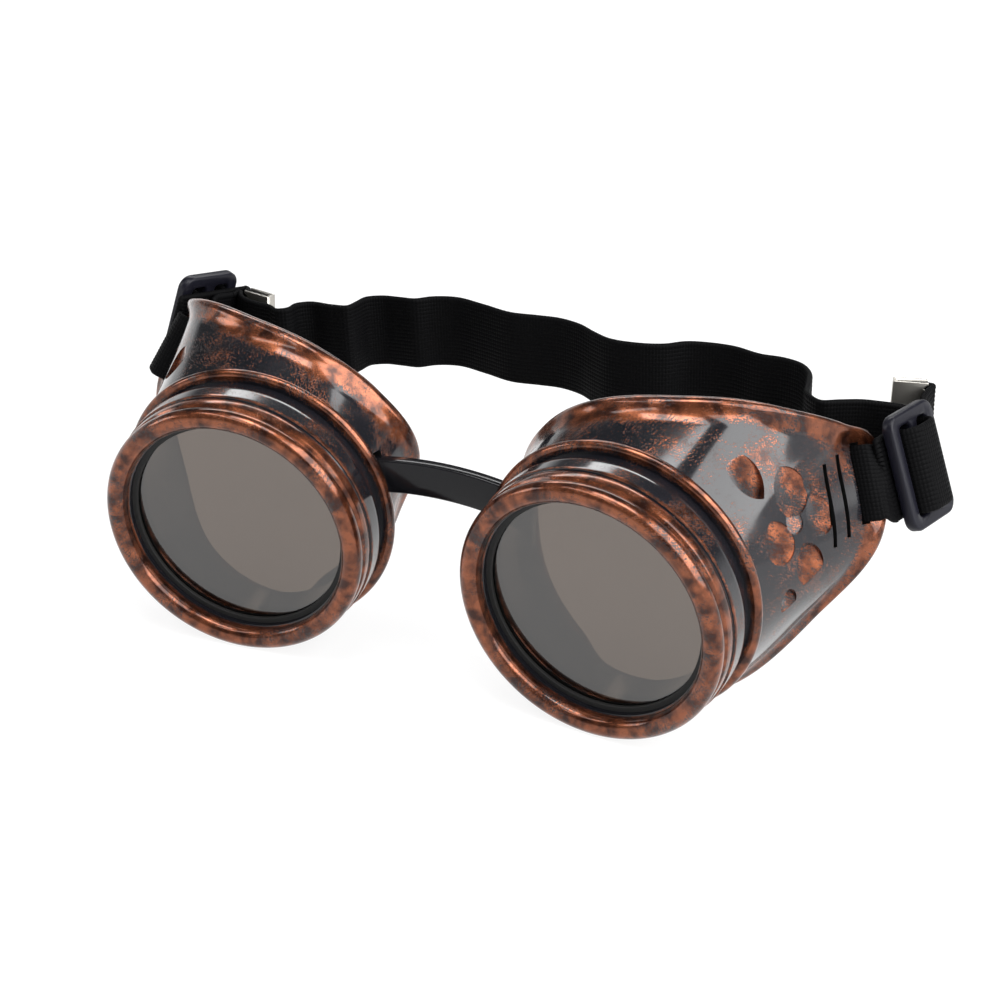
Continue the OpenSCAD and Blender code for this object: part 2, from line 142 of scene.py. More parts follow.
BRIDGE_H = 7.2
BRIDGE_T = 3
BRIDGE_Z = 42
BRIDGE_RISE = 1.4
HEAD_DROP = 3.6
HEAD_T = 2
HEAD_H = BRIDGE_H + 5
HEAD_PAST_WALL = 5.6
BRIDGE_Y = FLANGE_BACK_Y + 2.1 + BRIDGE_T / 2 - BRIDGE_Z * math.sin(LEAN) / 3
NOSE_DRAW_IN = 4.2
WALL_X = CUP_AT[0] - SHELL_R + NOSE_DRAW_IN
HOLE_T = BRIDGE_T + 0.6
HOLE_H = BRIDGE_H + 2.6
HOLE_DROP = 1.5
HOLE_PAST_WALL = 1

SLIDER_LEN = 16.8
SLIDER_T = 2.6
SLIDER_BAR = 3
SIDE_BAR = 2.8
WINDOW_H = WEB_W + 1
SLIDER_H = WINDOW_H + 2 * SIDE_BAR
WINDOW_L = (SLIDER_LEN - 3 * SLIDER_BAR) / 2
WINDOW_CORNER = 0.9
SLIDER_OFF = [Vector((7.06, 8.06, 2.36)), Vector((7.26, 2.86, 1.56))]
SLIDER_TURN = [(-7, -14, 18), (1, -21.5, -15)]

CLIP_LEN = 7.4
CLIP_T = 0.5
CLIP_H = WEB_W + 0.6
CLIP_IN = WEB_T + 0.3
CLIP_TEETH = 7
CLIP_NOTCH = 1.25
CLIP_OFF = [Vector((-10.72, -1.81, -1.01)), Vector((-10.24, 12.75, 0.63))]
CLIP_TURN = [12.3, 17]


def turn_matrix(degrees):
    """The turn of rotate([x, y, z]): about X first, then Y, then Z."""
    x, y, z = (math.radians(a) for a in degrees)
    return Matrix.Rotation(z, 3, "Z") @ Matrix.Rotation(y, 3, "Y") @ Matrix.Rotation(x, 3, "X")


CUP_TURN = Matrix.Rotation(-TOE_IN, 3, "Z") @ Matrix.Rotation(LEAN, 3, "X")
PANEL_MATRIX = turn_matrix(PANEL_TURN)
SLOT_MATRIX = PANEL_MATRIX @ turn_matrix((0, 0, SLOT_SLANT))
SLOT_PLACE = CUP_AT + CUP_TURN @ (PANEL_AT + PANEL_MATRIX @ SLOT_AT)
SLIDER_MATRIX = [turn_matrix(t) for t in SLIDER_TURN]
SLIDER_AT = [SLOT_PLACE + off for off in SLIDER_OFF]
SLIDER_END = [at + turn @ Vector((0, SLIDER_LEN, 0)) for at, turn in zip(SLIDER_AT, SLIDER_MATRIX)]
CLIP_AT = [end + off for end, off in zip(SLIDER_END, CLIP_OFF)]


def on_cup(p):
    """A point of the cup's own frame, as one of the whole object."""
    return CUP_AT + CUP_TURN @ Vector(p)


def on_panel(p):
    return on_cup(PANEL_AT + PANEL_MATRIX @ Vector(p))


def on_slot(p):
    return SLOT_PLACE + CUP_TURN @ SLOT_MATRIX @ Vector(p)


def curve4(a, b, c, d, t):
    """The smooth curve between b and c, at share t of the way."""
    return 0.5 * (
        2 * b + (c - a) * t + (2 * a - 5 * b + 4 * c - d) * t * t + (3 * b - a - 3 * c + d) * t ** 3
    )


# Meshes: every piece is made on the right-hand side and mirrored for the left


SHARP_ANGLE = math.radians(32)
SEAM = 1e-7


def new_piece(name, verts, faces, side, uvs, material, covers=None):
    """A mesh piece at the origin. verts and uvs, one a vertex, in millimetres; covers, one a
    vertex, say how thickly the copper lies, and over the scoops' deep parts also carry painted
    shade as thinner copper."""
    mesh = bpy.data.meshes.new(name)
    if side < 0:
        verts = [(-v[0], v[1], v[2]) for v in verts]
        faces = [tuple(reversed(f)) for f in faces]
    mesh.from_pydata([(v[0] * MM, v[1] * MM, v[2] * MM) for v in verts], [], faces)
    layer = mesh.uv_layers.new(name="UVMap")
    for loop in mesh.loops:
        layer.data[loop.index].uv = uvs[loop.vertex_index]
    mesh.materials.append(material)
    cover = mesh.attributes.new("cover", "FLOAT", "CORNER").data
    for loop in mesh.loops:
        cover[loop.index].value = covers[loop.vertex_index] if covers else 0
    mesh.shade_smooth()
    mesh.set_sharp_from_angle(angle=SHARP_ANGLE)
    piece = bpy.data.objects.new(name, mesh)
    bpy.context.scene.collection.objects.link(piece)
    return piece


def plain_mesh(piece):
    """Applies the piece's modifiers and leaves it a plain mesh."""
    depsgraph = bpy.context.evaluated_depsgraph_get()
    mesh = bpy.data.meshes.new_from_object(piece.evaluated_get(depsgraph))
    piece.modifiers.clear()
    piece.data = mesh
    return piece


def faces_outwards(piece, seam=None):
    """Makes the faces point outwards, and with seam joins the points closer than that."""
    bm = bmesh.new()
    bm.from_mesh(piece.data)
    if seam:
        bmesh.ops.remove_doubles(bm, verts=bm.verts, dist=seam)
    bmesh.ops.recalc_face_normals(bm, faces=bm.faces)
    bm.to_mesh(piece.data)
    bm.free()


def cut(piece, cutters):
    """Takes the cutters out of the piece, which keeps their materials on the cut faces."""
    for cutter in cutters:
        tool = piece.modifiers.new("cut", "BOOLEAN")
        tool.operation = "DIFFERENCE"
        tool.solver = "EXACT"
        tool.material_mode = "TRANSFER"
        tool.object = cutter
    plain_mesh(piece)
    for cutter in cutters:
        bpy.data.objects.remove(cutter)
    return piece


def round_the_axis(rows, uv_radius):
    """Joins closed outlines of (radius, distance behind the bead, copper cover) into a tube.
    Each row is (angle, angle for the UVs, outline); the seam's points are doubled."""
    verts, faces, uvs, covers = [], [], [], []
    for a, uv_angle, profile in rows:
        count = len(profile)
        run = 0
        for j in range(count + 1):
            r, y, cover = profile[j % count]
            if j:
                run += math.dist(profile[j - 1][:2], (r, y))
            verts.append(on_cup((r * math.cos(a), y, r * math.sin(a))))
            uvs.append((uv_angle * uv_radius, run))
            covers.append(cover)
    row = count + 1
    for k in range(len(rows) - 1):
        for j in range(count):
            a, b = k * row + j, k * row + j + 1
            faces.append((a, b, b + row, a + row))
    return verts, faces, uvs, covers


def lathe(profile, steps):
    """Turns one outline round the axis."""
    angles = [2 * math.pi * k / steps for k in range(steps + 1)]
    verts, faces, uvs, covers = round_the_axis([(a, a, profile) for a in angles], RING_R)
    return verts, [(a, d, c, b) for a, b, c, d in faces], uvs, covers


def weld(piece):
    """Joins the seam rows of a turned piece and makes its faces point outwards."""
    faces_outwards(piece, SEAM)
    piece.data.set_sharp_from_angle(angle=SHARP_ANGLE)
    return piece


def arc(centre, radius, start, end, steps):
    """Points of an arc as (radius, distance) pairs, angles in degrees."""
    return [
        (centre[0] + radius * math.cos(math.radians(start + (end - start) * k / steps)),
         centre[1] + radius * math.sin(math.radians(start + (end - start) * k / steps)))
        for k in range(steps + 1)
    ]


def with_cover(points, cover):
    return [(r, y, cover) for r, y in points]


# How thickly the copper lies
DENSE = 0.84
THIN = 0.35
BARE = 0.1


def ring_profile():
    """Bead, skirt with a turned groove and a rear band, and the stepped bore."""
    r = RING_OUT_R
    back = RING_BACK_Y
    bead = with_cover(arc((RING_R, 0), BEAD_R, 156, 400, 34), DENSE)
    front_skirt = [
        (r - 0.62, 1.75), (r - 0.42, 1.95), (r - 0.34, 2.3), (r - 0.3, 3.2), (r - 0.3, 4.1),
    ]
    groove = [(r - 0.42, 4.3), (r - 0.62, 4.42), (r - 0.66, 4.6), (r - 0.5, 4.76)]
    edge = [(r - 0.12, 4.84), (r - 0.02, 4.92), (r, 5.06)]
    rear_skirt = [(r, 5.6), (r, 6.4), (r, 7.2), (r, 8), (r, 8.7), (r - 0.1, 9.05), (r - 0.3, 9.3)]
    bore = [
        (r - 0.6, back), (THREAD_R, back), (THREAD_R, NECK_Y - 0.5), (POCKET_R, NECK_Y - 0.5),
        (POCKET_R, LIP_T), (APERTURE_R, LIP_T), (APERTURE_R, 1),
    ]
    return (
        bead + with_cover(front_skirt, DENSE) + with_cover(groove, BARE) + with_cover(edge, DENSE)
        + with_cover(rear_skirt, THIN) + with_cover(bore, BARE)
    )


def tube_profile(r_out, r_in, y_from, y_to, edge=0.12):
    """A plain tube with its edges taken off."""
    return with_cover([
        (r_in + edge, y_from), (r_out - edge, y_from), (r_out, y_from + edge), (r_out, y_to - edge),
        (r_out - edge, y_to), (r_in + edge, y_to), (r_in, y_to - edge), (r_in, y_from + edge),
    ], BARE)


THREAD_PITCH = 0.8
THREAD_CUT = 0.25


def neck_profile():
    """The threaded neck, the groove's floor and the rounded flange, as one closed outline."""
    threads = []
    y = NECK_Y + 0.3
    while y < SHOULDER_Y - 0.5:
        threads += [
            (NECK_R, y), (NECK_R - THREAD_CUT, y + 0.2), (NECK_R - THREAD_CUT, y + 0.4),
            (NECK_R, y + 0.6),
        ]
        y += THREAD_PITCH
    flange = arc((FLANGE_R - FLANGE_T / 2, FLANGE_Y + FLANGE_T / 2), FLANGE_T / 2, -90, 90, 14)
    return (
        with_cover([(NECK_IN_R, NECK_Y), (NECK_R, NECK_Y)] + threads, BARE)
        + with_cover([(NECK_R, SHOULDER_Y), (RECESS_R, SHOULDER_Y), (RECESS_R, FLANGE_Y)], BARE)
        + with_cover(flange, DENSE) + with_cover([(NECK_IN_R, FLANGE_BACK_Y)], BARE)
    )


def rim_at(u):
    """(angle, reach, depth) of the rim at row u, on past the ends of the list."""
    i = math.floor(u)
    rows = []
    for k in range(i - 1, i + 3):
        lap, n = divmod(k, len(RIM))
        rows.append((RIM[n][0] + 360 * lap, RIM[n][1], RIM[n][2]))
    return [curve4(*(row[j] for row in rows), u - i) for j in range(3)]


WALL_STEPS = 24
FLARE_STEPS = 8
LIP_STEPS = 20
FLARE_LEN = 3.4
FLARE_BEND = 0.75
CREASE_AT = -75
LIP_FROM = -25
LIP_TO = 200


def wall_profile(reach, depth):
    """Outer wall, its flare, the rolled lip and the inner wall, in the plane of one rim row."""
    end = Vector((SHELL_R + reach, FLANGE_BACK_Y + depth))
    root = Vector((SHELL_R, ROOT_Y))
    along = (end - root).normalized()
    out = Vector((along[1], -along[0]))

    def round_lip(a):
        a = math.radians(a)
        return end + RIM_R * (math.cos(a) * out + math.sin(a) * along)

    crease = round_lip(CREASE_AT) - FLARE_LEN * along
    lip_start = round_lip(LIP_FROM)
    bend = crease + (FLARE_LEN * FLARE_BEND) * along
    inner = round_lip(LIP_TO)
    inner_root = root - Vector((CUP_WALL, 0))
    points = [(*root.lerp(crease, k / WALL_STEPS), THIN) for k in range(WALL_STEPS)]
    for k in range(FLARE_STEPS):
        t = k / FLARE_STEPS
        spot = (1 - t) ** 2 * crease + 2 * t * (1 - t) * bend + t * t * lip_start
        points.append((*spot, THIN + (DENSE - THIN) * min(1, 2 * t)))
    for k in range(LIP_STEPS + 1):
        points.append((*round_lip(LIP_FROM + (LIP_TO - LIP_FROM) * k / LIP_STEPS), DENSE))
    points += [(*inner.lerp(inner_root, k / WALL_STEPS), 0) for k in range(1, WALL_STEPS + 1)]
    return points


SHELL_STEPS = 312


def cup_shell():
    """The cup's wall, whose outline follows the rim on its way round the axis."""
    rows = []
    for k in range(SHELL_STEPS + 1):
        angle, reach, depth = rim_at((k % SHELL_STEPS) * len(RIM) / SHELL_STEPS)
        uv_angle = math.radians(angle + (360 if k == SHELL_STEPS else 0))
        rows.append((math.radians(angle), uv_angle, wall_profile(reach, depth)))
    return round_the_axis(rows, SHELL_R)


ABOVE_PANEL = 3


def sunk_form(outline, depth, place, shallow, steps=8, segments=48):
    """A cutter for a scoop: outline(angle) is its edge; the floor is hollowed, deep under the
    upper front edge and rising to shallow at the other end."""
    half_w, half_l = outline(0)[0], outline(math.pi / 2)[1]

    def slope_at(x, y):
        return min(1, max(0, 0.5 + FLOOR_TILT * y / half_l - FLOOR_TILT * x / half_w))

    def floor_at(x, y):
        hollow = min(1, (x / half_w) ** 2)
        return -(shallow + (depth - shallow) * slope_at(x, y)) * (1 - FLOOR_HOLLOW * hollow)

    # The copper goes from SCOOP_COVER down to THIN over the deep part of the floor: painted shade
    # in the hollow
    def cover_with_painted_shade_at(x, y):
        painted_shade = min(1, max(0, PAINTED_SHADE_RAMP * slope_at(x, y) - PAINTED_SHADE_RAMP / 2))
        return SCOOP_COVER + (THIN - SCOOP_COVER) * painted_shade

    verts, faces, covers = [place(Vector((0, 0, floor_at(0, 0))))], [], [cover_with_painted_shade_at(0, 0)]
    for k in range(1, steps + 2):
        share = min(1, k / steps)
        for j in range(segments):
            x, y = (v * share for v in outline(2 * math.pi * j / segments))
            z = floor_at(x, y) if k <= steps else ABOVE_PANEL
            verts.append(place(Vector((x, y, z))))
            covers.append(cover_with_painted_shade_at(x, y))
    for j in range(segments):
        n = (j + 1) % segments
        faces.append((0, 1 + n, 1 + j))
        for k in range(steps):
            b = 1 + k * segments
            c = b + segments
            faces.append((b + j, b + n, c + n, c + j))
    top = 1 + steps * segments
    faces.append(tuple(range(top, top + segments)))
    return verts, faces, covers


def pointed(half_w, half_l):
    """Outline of two arcs that meet in a point at each end, for x within half_w, y half_l."""
    arc_r = (half_l * half_l + half_w * half_w) / (2 * half_w)
    c = arc_r - half_w

    def outline(a):
        s = abs(math.cos(a))
        r = -c * s + math.sqrt(max(0, c * c * s * s + arc_r * arc_r - c * c))
        return r * math.cos(a), r * math.sin(a)
    return outline


POINT_RISE = 1.32


def drop_outline(d):
    """Round below, drawn up to a point above."""
    upper = pointed(d / 2, d / 2 * POINT_RISE)

    def outline(a):
        return upper(a) if math.sin(a) > 0 else (d / 2 * math.cos(a), d / 2 * math.sin(a))
    return outline


def box_form(size, place):
    """A box of that size round the origin, put in its place."""
    x, y, z = (v / 2 for v in size)
    corners = [(i, j, k) for k in (-z, z) for j in (-y, y) for i in (-x, x)]
    faces = [(0, 2, 3, 1), (4, 5, 7, 6), (0, 1, 5, 4), (2, 6, 7, 3), (0, 4, 6, 2), (1, 3, 7, 5)]
    return [place(Vector(c)) for c in corners], faces


def closed_form(form, side, material):
    """A piece from (verts, faces), with covers where the form has them, to cut with or to keep."""
    verts, faces, *covers = form
    uvs = [(v[2], v[1]) for v in verts]
    piece = new_piece("cutter", verts, faces, side, uvs, material, covers[0] if covers else None)
    faces_outwards(piece)
    return piece


def panel_cutters(side, paint, dark):
    """Scoops, leaf and slits, then the strap's slot and the bridge's hole, which go through."""
    tools = []
    for x, y, z, d in SCOOPS:
        place = lambda p, at=Vector((x, y, z)): on_panel(at + p)
        scoop = sunk_form(drop_outline(d), SCOOP_DEPTH, place, SCOOP_SHALLOW)
        tools.append(closed_form(scoop, side, paint))
    leaf_turn = turn_matrix((0, 0, LEAF_TURN))
    leaf = sunk_form(pointed(LEAF_W / 2, LEAF_LEN / 2), SCOOP_DEPTH,
                     lambda p: on_panel(LEAF_AT + leaf_turn @ p), LEAF_SHALLOW)
    tools.append(closed_form(leaf, side, paint))
    slit_turn = turn_matrix((0, 0, SLOT_SLANT))
    rise = Vector((0, 0, SLIT_CUTTER_H / 2 - SLIT_DEPTH))
    for at in SLITS:
        place = lambda p, at=Vector(at): on_panel(at + slit_turn @ (p + rise))
        slit = box_form((SLIT_W, SLIT_LEN, SLIT_CUTTER_H), place)
        tools.append(closed_form(slit, side, dark))
    slot = box_form((SLOT_W, SLOT_LEN, THROUGH_CUT), on_slot)
    tools.append(closed_form(slot, side, dark))
    hole_z = BRIDGE_Z - BRIDGE_RISE - BRIDGE_H / 2 - HOLE_DROP + HOLE_H / 2
    hole_at = Vector((WALL_X + HOLE_PAST_WALL, BRIDGE_Y, hole_z))
    hole = box_form((THROUGH_CUT, HOLE_T, HOLE_H), lambda p: hole_at + p)
    tools.append(closed_form(hole, side, dark))
    return tools


def join(pieces, name):
    """Several meshes in one piece, each keeping its own materials."""
    main = pieces[0]
    with bpy.context.temp_override(active_object=main, selected_editable_objects=pieces):
        bpy.ops.object.join()
    main.name = name
    main.data.name = name
    return main


# Webbing


def full(p):
    """A point of a line with its share of the webbing's width, which is 1 if none is given."""
    return list(p) + [1] if len(p) < 6 else list(p)


def by_slider(k, along, n):
    """A point along a slider and n in front of its middle, with the way the edge points."""
    turn = SLIDER_MATRIX[k]
    p = SLIDER_AT[k] + turn @ Vector((n, along, 0))
    up = turn @ Vector((0, 0, 1))
    return [*p, up[0], up[1]]


def past_slider(k, p):
    """A point that is given from the middle of the slider's far end."""
    return [*(SLIDER_END[k] + Vector(p[:3])), p[3], p[4]]


def by_slot(across, n):
    """A point at the cup's slot, where the webbing is drawn in."""
    p = on_slot((across, 0, n))
    up = (CUP_TURN @ SLOT_MATRIX @ Vector((0, 1, SLOT_TIP))).normalized()
    return [*p, up[0], up[1], SLOT_SQUEEZE]


def by_clip(k, along):
    a = math.radians(CLIP_TURN[k])
    return [*(CLIP_AT[k] + along * Vector((math.cos(a), math.sin(a), 0))), 0, 0]


TAIL_N = -(SLIDER_T / 2 + WEB_T / 2 + 0.25)
STRAP_N = TAIL_N - WEB_T - 0.35
TURN_OFF = SLIDER_LEN - 3.8
FOLD = [
    [(-5.32, 0.29, -1.01, -0.1, 0), (-3.92, 1.59, -1.01, -0.2, 0),
     (-2.52, 1.59, -0.91, -0.25, 0.04)],
    [(-5.64, 13.85, 0.63, 0, 0), (-4.84, 12.25, 0.53, -0.14, 0), (-3.74, 8.55, 0.13, -0.31, 0.05),
     (-2.14, 4.35, -0.37, -0.35, 0.08)],
]
THROUGH_SLOT = [(3.4, 3.3), (1.3, 2.6), (0.12, 0.8), (0.04, -2.5), (2.6, -4), (6, -3.8)]
OVER_RIM = [[(6.2, 3.05)], []]
PAST_RIM = [(9.5, -4.2), (9, -2.4)]


def loop_line(k):
    """From the clipped end past the slider, through the cup's slot, round the rim and back."""
    ends = (1 - CLIP_LEN / 2, 0, CLIP_LEN / 2 - 0.8, CLIP_LEN / 2 + 0.1)
    tail = (SLIDER_LEN + 1.4, SLIDER_LEN + 0.2, SLIDER_LEN / 2, -0.2, -1.2)
    back = (TURN_OFF - 5, TURN_OFF - 4, TURN_OFF - 1, TURN_OFF - 0.15)
    return (
        [by_clip(k, x) for x in ends] + [past_slider(k, p) for p in FOLD[k]]
        + [by_slider(k, y, TAIL_N) for y in tail]
        + [by_slot(*p) for p in OVER_RIM[k] + THROUGH_SLOT + [PAST_RIM[k]]]
        + [by_slider(k, y, STRAP_N) for y in back]
    )


def flipped(p):
    return [-p[0], p[1], p[2], -p[3], p[4]]


LEAD = [
    [(-3.32, -2.71, -0.71, -0.2, 0), (-4.42, -1.81, -0.81, -0.15, -0.04),
     (-5.72, -3.21, -0.91, -0.1, -0.04), (-7.62, -4.51, -1.01, -0.06, -0.06),
     (-12.62, -5.81, -1.11, 0, -0.1)],
    [(-20.74, -3.35, 0.63, 0, -0.14), (-16.74, -0.45, 0.33, 0, -0.12),
     (-12.74, 0.95, 0.03, -0.02, -0.1), (-9.34, 2.15, -0.47, -0.1, -0.05),
     (-6.44, 2.75, -0.87, -0.2, 0), (-4.54, 1.65, -1.17, -0.3, 0.05)],
]
BACK_RUN = [
    (-66, 61.7, 47), (-62.5, 59.4, 47.3), (-60.6, 60.6, 47.5), (-60.2, 64, 47.6), (-58, 66.2, 47.7),
    (-52, 66.5, 47.9), (-48.4, 67.2, 48.1), (-47.6, 70, 48.3), (-46.8, 73.2, 48.6),
    (-44, 75.2, 48.8), (-39, 75.4, 49.2), (-35, 75.2, 49.6), (-32, 77.8, 49.8),
    (-27, 79.6, WEB_Z), (-19, 78.2, WEB_Z),
    (-11, 76.2, WEB_Z), (-5, 77.3, WEB_Z), (0, 78, WEB_Z), (5.5, 76.6, WEB_Z), (10.5, 73.3, WEB_Z),
    (15, 71, WEB_Z), (21, 71.2, WEB_Z), (27, 73.6, WEB_Z), (31, 77.6, WEB_Z), (36, 79.3, WEB_Z),
    (41, 79.7, WEB_Z), (48, 77.8, WEB_Z), (53, 78.1, WEB_Z), (57.5, 76.6, WEB_Z), (60.3, 73, WEB_Z),
    (62, 67.5, WEB_Z), (64.3, 60, WEB_Z), (67.5, 57.6, WEB_Z),
]
BACK_TIP = -0.14


def head_line():
    """The long stretch round the back of the head, from the left slider to the right one."""
    return (
        [flipped(by_slider(0, y, STRAP_N)) for y in (TURN_OFF, TURN_OFF + 1)]
        + [flipped(past_slider(0, p)) for p in LEAD[0]]
        + [[*p, 0, BACK_TIP] for p in BACK_RUN]
        + [past_slider(1, p) for p in LEAD[1]]
        + [by_slider(1, y, STRAP_N) for y in (TURN_OFF + 2, TURN_OFF)]
    )


HUMP = 3.9
WRAP_REACH = SLIDER_BAR / 2 + WINDOW_L - WEB_T / 2 - 0.1
WRAP_HALF = [
    (WRAP_REACH - 0.3, -1.4), (WRAP_REACH - 0.1, 0), (WRAP_REACH, 1.6),
    (WRAP_REACH - 1.2, HUMP - 0.6),
]


def wrap_line(k):
    """The hump of webbing over the slider's middle bar."""
    mid = SLIDER_LEN / 2
    own = [(n, mid - y) for y, n in WRAP_HALF] + [(HUMP, mid)]
    own += [(n, mid + y) for y, n in reversed(WRAP_HALF)]
    return [by_slider(k, y, n) for n, y in own]


def first3(v):
    return Vector(v[:3])


def smooth_line(points, steps):
    """The points and a smooth curve between them, with steps stretches to each gap."""
    pts = [full(p) for p in points]
    more = [[2 * a - b for a, b in zip(pts[0], pts[1])]] + pts
    more.append([2 * a - b for a, b in zip(pts[-1], pts[-2])])
    line = []
    for i in range(1, len(more) - 2):
        line += [flow(more, i, k / steps) for k in range(steps)]
    return line + [pts[-1]]


def flow(points, i, t):
    """One value of the curve between points i and i + 1, eased by the gaps on both sides."""
    a, b, c, d = points[i - 1:i + 3]
    p, q, r = (max(0.1, math.dist(u[:3], v[:3])) for u, v in ((a, b), (b, c), (c, d)))
    t2, t3 = t * t, t * t * t
    out = []
    for j in range(6):
        u = q * ((b[j] - a[j]) / p - (c[j] - a[j]) / (p + q) + (c[j] - b[j]) / q)
        v = q * ((c[j] - b[j]) / q - (d[j] - b[j]) / (q + r) + (d[j] - c[j]) / r)
        out.append((2 * t3 - 3 * t2 + 1) * b[j] + (t3 - 2 * t2 + t) * u
                   + (3 * t2 - 2 * t3) * c[j] + (t3 - t2) * v)
    return out


WEB_RIBS = 18
RIB_OVERLAP = 1.7
RIB_D = WEB_W / WEB_RIBS * RIB_OVERLAP
RIB_SIDES = 10
LINE_STEPS = 6
HUMP_STEPS = 8


def node(tree, kind, **settings):
    made = tree.nodes.new(kind)
    for key, value in settings.items():
        setattr(made, key, value)
    return made


def new_group(name, kind, inputs, outputs):
    """A node group with its sockets, its start and its end."""
    tree = bpy.data.node_groups.new(name, kind)
    for direction, sockets in (("INPUT", inputs), ("OUTPUT", outputs)):
        for label, socket in sockets:
            tree.interface.new_socket(label, in_out=direction, socket_type="NodeSocket" + socket)
    return tree, node(tree, "NodeGroupInput"), node(tree, "NodeGroupOutput")


def webbing_tree():
    """Geometry nodes that lay ribs side by side along a line, across its own width."""
    tree, start, end = new_group(
        "Ribbed webbing", "GeometryNodeTree",
        [("Geometry", "Geometry"), ("Ribs", "Int"), ("Rib width", "Float"), ("Thickness", "Float"),
         ("Webbing", "Material")],
        [("Geometry", "Geometry")])
    link = tree.links.new
    curve = node(tree, "GeometryNodeMeshToCurve")
    copies = node(tree, "GeometryNodeDuplicateElements", domain="SPLINE")
    across = node(tree, "GeometryNodeInputNamedAttribute", data_type="FLOAT_VECTOR")
    across.inputs["Name"].default_value = "across"
    out = node(tree, "GeometryNodeInputNamedAttribute", data_type="FLOAT_VECTOR")
    out.inputs["Name"].default_value = "out"
    last = node(tree, "ShaderNodeMath", operation="SUBTRACT")
    last.inputs[1].default_value = 1
    share = node(tree, "ShaderNodeMath", operation="DIVIDE")
    middle = node(tree, "ShaderNodeMath", operation="SUBTRACT")
    middle.inputs[1].default_value = 0.5
    shift = node(tree, "ShaderNodeVectorMath", operation="SCALE")
    move = node(tree, "GeometryNodeSetPosition")
    normal = node(tree, "GeometryNodeSetCurveNormal", mode="FREE")
    along = node(tree, "GeometryNodeSplineParameter")
    store = node(tree, "GeometryNodeStoreNamedAttribute", data_type="FLOAT", domain="POINT")
    store.inputs["Name"].default_value = "along"
    circle = node(tree, "GeometryNodeCurvePrimitiveCircle")
    circle.inputs["Resolution"].default_value = RIB_SIDES
    circle.inputs["Radius"].default_value = 0.5
    sides = node(tree, "ShaderNodeCombineXYZ")
    sides.inputs["Z"].default_value = 1
    shape = node(tree, "GeometryNodeTransform")
    sweep = node(tree, "GeometryNodeCurveToMesh")
    sweep.inputs["Fill Caps"].default_value = True
    real = node(tree, "GeometryNodeRealizeInstances")
    paint = node(tree, "GeometryNodeSetMaterial")
    link(start.outputs["Geometry"], curve.inputs["Mesh"])
    link(curve.outputs["Curve"], store.inputs["Geometry"])
    link(along.outputs["Length"], store.inputs["Value"])
    link(store.outputs["Geometry"], normal.inputs["Curve"])
    link(out.outputs["Attribute"], normal.inputs["Normal"])
    link(normal.outputs["Curve"], copies.inputs["Geometry"])
    link(start.outputs["Ribs"], copies.inputs["Amount"])
    link(start.outputs["Ribs"], last.inputs[0])
    link(copies.outputs["Duplicate Index"], share.inputs[0])
    link(last.outputs[0], share.inputs[1])
    link(share.outputs[0], middle.inputs[0])
    link(across.outputs["Attribute"], shift.inputs[0])
    link(middle.outputs[0], shift.inputs["Scale"])
    link(copies.outputs["Geometry"], move.inputs["Geometry"])
    link(shift.outputs["Vector"], move.inputs["Offset"])
    link(start.outputs["Thickness"], sides.inputs["X"])
    link(start.outputs["Rib width"], sides.inputs["Y"])
    link(circle.outputs["Curve"], shape.inputs["Geometry"])
    link(sides.outputs["Vector"], shape.inputs["Scale"])
    link(move.outputs["Geometry"], sweep.inputs["Curve"])
    link(shape.outputs["Geometry"], sweep.inputs["Profile Curve"])
    link(sweep.outputs["Mesh"], real.inputs["Geometry"])
    link(real.outputs["Geometry"], paint.inputs["Geometry"])
    link(start.outputs["Webbing"], paint.inputs["Material"])
    link(paint.outputs["Geometry"], end.inputs["Geometry"])
    return tree


def edge_of(p):
    """The way the webbing's upper edge points, from its slant along X and Y."""
    return Vector((p[3], p[4], math.sqrt(max(0.1, 1 - p[3] ** 2 - p[4] ** 2)))).normalized()


def webbing(name, points, tree, material, side=1, steps=LINE_STEPS):
    """Ribbed webbing along a line, whose points say where its edge points and how wide it is."""
    line = smooth_line(points, steps)
    mesh = bpy.data.meshes.new(name)
    flip = Vector((side, 1, 1))
    spots, acrosses, outs = [], [], []
    for k, p in enumerate(line):
        up = edge_of(p)
        here, there = line[max(k - 1, 0)], line[min(k + 1, len(line) - 1)]
        run = (first3(there) - first3(here)).normalized()
        normal = up.cross(run).normalized()
        wide = up * (p[5] * WEB_W - RIB_D)
        spots.append(first3(p) * flip * MM)
        acrosses.append(wide * flip * MM)
        outs.append(normal * flip)
    mesh.from_pydata(spots, [(k, k + 1) for k in range(len(line) - 1)], [])
    for key, values in (("across", acrosses), ("out", outs)):
        data = mesh.attributes.new(key, "FLOAT_VECTOR", "POINT").data
        for item, value in zip(data, values):
            item.vector = value
    piece = bpy.data.objects.new(name, mesh)
    bpy.context.scene.collection.objects.link(piece)
    modifier = piece.modifiers.new("ribs", "NODES")
    modifier.node_group = tree
    sockets = {s.name: s.identifier for s in tree.interface.items_tree if s.in_out == "INPUT"}
    modifier[sockets["Ribs"]] = WEB_RIBS
    modifier[sockets["Rib width"]] = RIB_D * MM
    modifier[sockets["Thickness"]] = WEB_T * MM
    modifier[sockets["Webbing"]] = material
    plain_mesh(piece)
    faces_outwards(piece)
    piece.data.shade_smooth()
    piece.data.set_sharp_from_angle(angle=math.radians(60))
    return piece


# Slider, clip and bridge


BEVEL_FROM = math.radians(30)


def bevelled(piece, width, segments=3):
    """The piece with its edges rounded."""
    tool = piece.modifiers.new("round", "BEVEL")
    tool.width = width * MM
    tool.segments = segments
    tool.limit_method = "ANGLE"
    tool.angle_limit = BEVEL_FROM
    tool.harden_normals = True
    plain_mesh(piece)
    piece.data.shade_smooth()
    piece.data.set_sharp_from_angle(angle=math.radians(40))
    return piece


